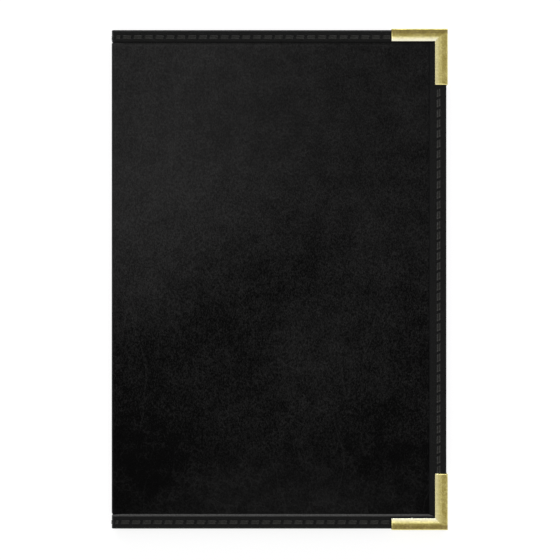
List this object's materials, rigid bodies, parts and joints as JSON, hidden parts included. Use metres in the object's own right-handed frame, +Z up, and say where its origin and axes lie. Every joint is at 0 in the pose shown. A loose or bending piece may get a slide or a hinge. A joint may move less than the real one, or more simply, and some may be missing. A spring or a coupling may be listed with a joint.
{
  "type": "menu cover",
  "caption": "Folding menu cover with stiff black leatherette leaves, sewn binding, brass corners and a clear page pocket inside each leaf.",
  "frame": {"origin": "On the table under the middle of the closed cover's bounding box.", "axes": "+X from the spine to the fore-edge, +Y up the page towards the top of the menu, +Z up from the table through the closed cover, front leaf uppermost."},
  "size_m": [0.1586, 0.2362, 0.0118],
  "materials": {
    "leatherette": "satin grained",
    "binding": "satin grained",
    "thread": "waxed thread",
    "brass": "polished, lightly tarnished",
    "board": "matte",
    "lining": "matte grained",
    "clear_vinyl": "clear flexible vinyl"
  },
  "bodies": {
    "back_cover": {"back_cover_leather": "leatherette", "back_board": "board", "back_lining": "lining", "back_window": "clear_vinyl", "back_binding_top": "binding", "back_binding_fore_edge": "binding", "back_binding_bottom": "binding", "back_stitching_top": "thread", "back_stitching_fore_edge": "thread", "back_stitching_bottom": "thread", "back_corner_top": "brass", "back_corner_bottom": "brass", "back_crease": "leatherette", "back_crease_binding": "binding"},
    "spine": {"spine_leather": "leatherette", "spine_lining": "lining", "spine_binding_top": "binding", "spine_binding_bottom": "binding", "spine_stitching": "thread"},
    "front_cover": {"front_cover_leather": "leatherette", "front_board": "board", "front_lining": "lining", "front_window": "clear_vinyl", "front_binding_top": "binding", "front_binding_fore_edge": "binding", "front_binding_bottom": "binding", "front_stitching_top": "thread", "front_stitching_fore_edge": "thread", "front_stitching_bottom": "thread", "front_corner_top": "brass", "front_corner_bottom": "brass", "front_crease": "leatherette", "front_crease_binding": "binding"}
  },
  "joints": [
    {"name": "spine_fold", "type": "hinge", "parent": "back_cover", "child": "spine", "pos_m": [-0.07777, 0, 0.0022], "axis": [0, -1, 0], "range_deg": [0, 90], "deforming": ["back_crease", "back_crease_binding"]},
    {"name": "cover_fold", "type": "hinge", "parent": "spine", "child": "front_cover", "pos_m": [-0.07777, 0, 0.0096], "axis": [0, -1, 0], "range_deg": [0, 90], "deforming": ["front_crease", "front_crease_binding"]}
  ],
  "couplings": [
    {"joint": "cover_fold", "follows": "spine_fold", "ratio": 1}
  ]
}
